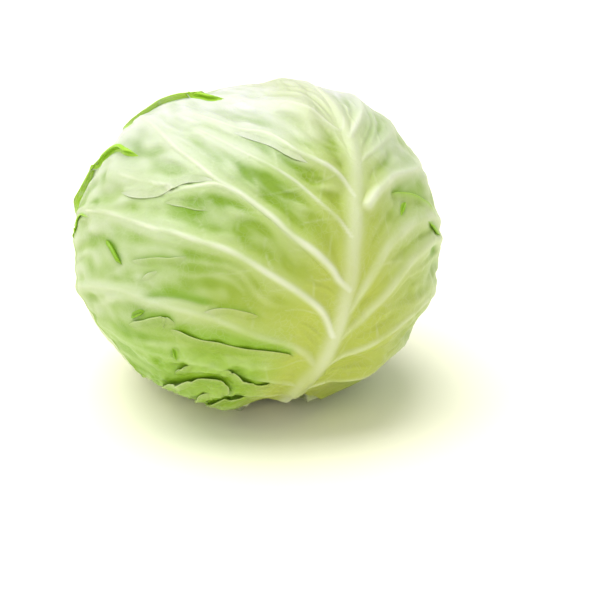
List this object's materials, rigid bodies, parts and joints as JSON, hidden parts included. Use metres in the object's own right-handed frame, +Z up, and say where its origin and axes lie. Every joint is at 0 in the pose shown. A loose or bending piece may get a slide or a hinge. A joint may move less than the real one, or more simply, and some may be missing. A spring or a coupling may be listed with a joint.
{
  "type": "round_head_cabbage",
  "caption": "Whole round, tight head cabbage lying tilted, with waved wrapper leaves, raised midribs and side veins, and a short cut stem.",
  "frame": {"origin": "on the table, under the middle of the head's box", "axes": "+Z up, +X to the right and +Y away as seen from the front; the stem points down, forward and a little to the right"},
  "size_m": [0.1794, 0.1752, 0.1569],
  "materials": {
    "closed_head": "satin",
    "leaf_back": "satin",
    "leaf_left": "satin",
    "leaf_right": "satin",
    "leaf_back_left": "satin",
    "leaf_front": "satin",
    "stem": "matte"
  },
  "bodies": {
    "root": {"closed_head": "closed_head", "leaf_back": "leaf_back", "leaf_left": "leaf_left", "leaf_right": "leaf_right", "leaf_back_left": "leaf_back_left", "leaf_front": "leaf_front", "stem": "stem"}
  },
  "joints": []
}
